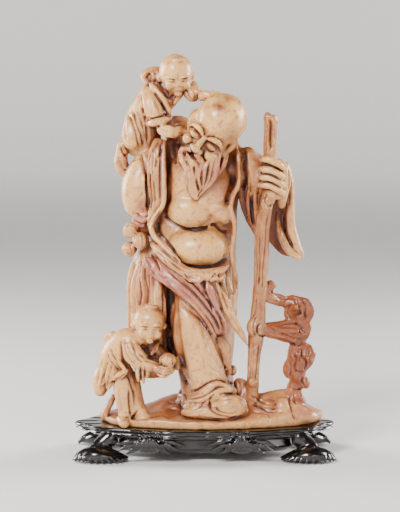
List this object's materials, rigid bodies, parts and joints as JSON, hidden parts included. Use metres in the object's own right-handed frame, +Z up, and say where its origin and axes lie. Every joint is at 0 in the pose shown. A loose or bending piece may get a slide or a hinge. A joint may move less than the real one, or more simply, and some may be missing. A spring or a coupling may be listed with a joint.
{
  "type": "soapstone sage carving",
  "caption": "Carved soapstone group of an old sage with a staff, a boy on his shoulder and a boy with a peach at his feet, resting on a carved dark hardwood stand.",
  "frame": {"origin": "on the table, under the middle of the stand", "axes": "+Z up; the sage faces -Y; +X is to the right of someone who looks at his face; metres"},
  "size_m": [0.158, 0.074, 0.2411],
  "materials": {
    "soapstone": "waxed and polished cream soapstone with rose and rust-brown veins",
    "dark_hardwood": "polished near-black carved hardwood"
  },
  "bodies": {
    "root": {"soapstone_carving": "soapstone", "hardwood_stand": "dark_hardwood"}
  },
  "joints": []
}
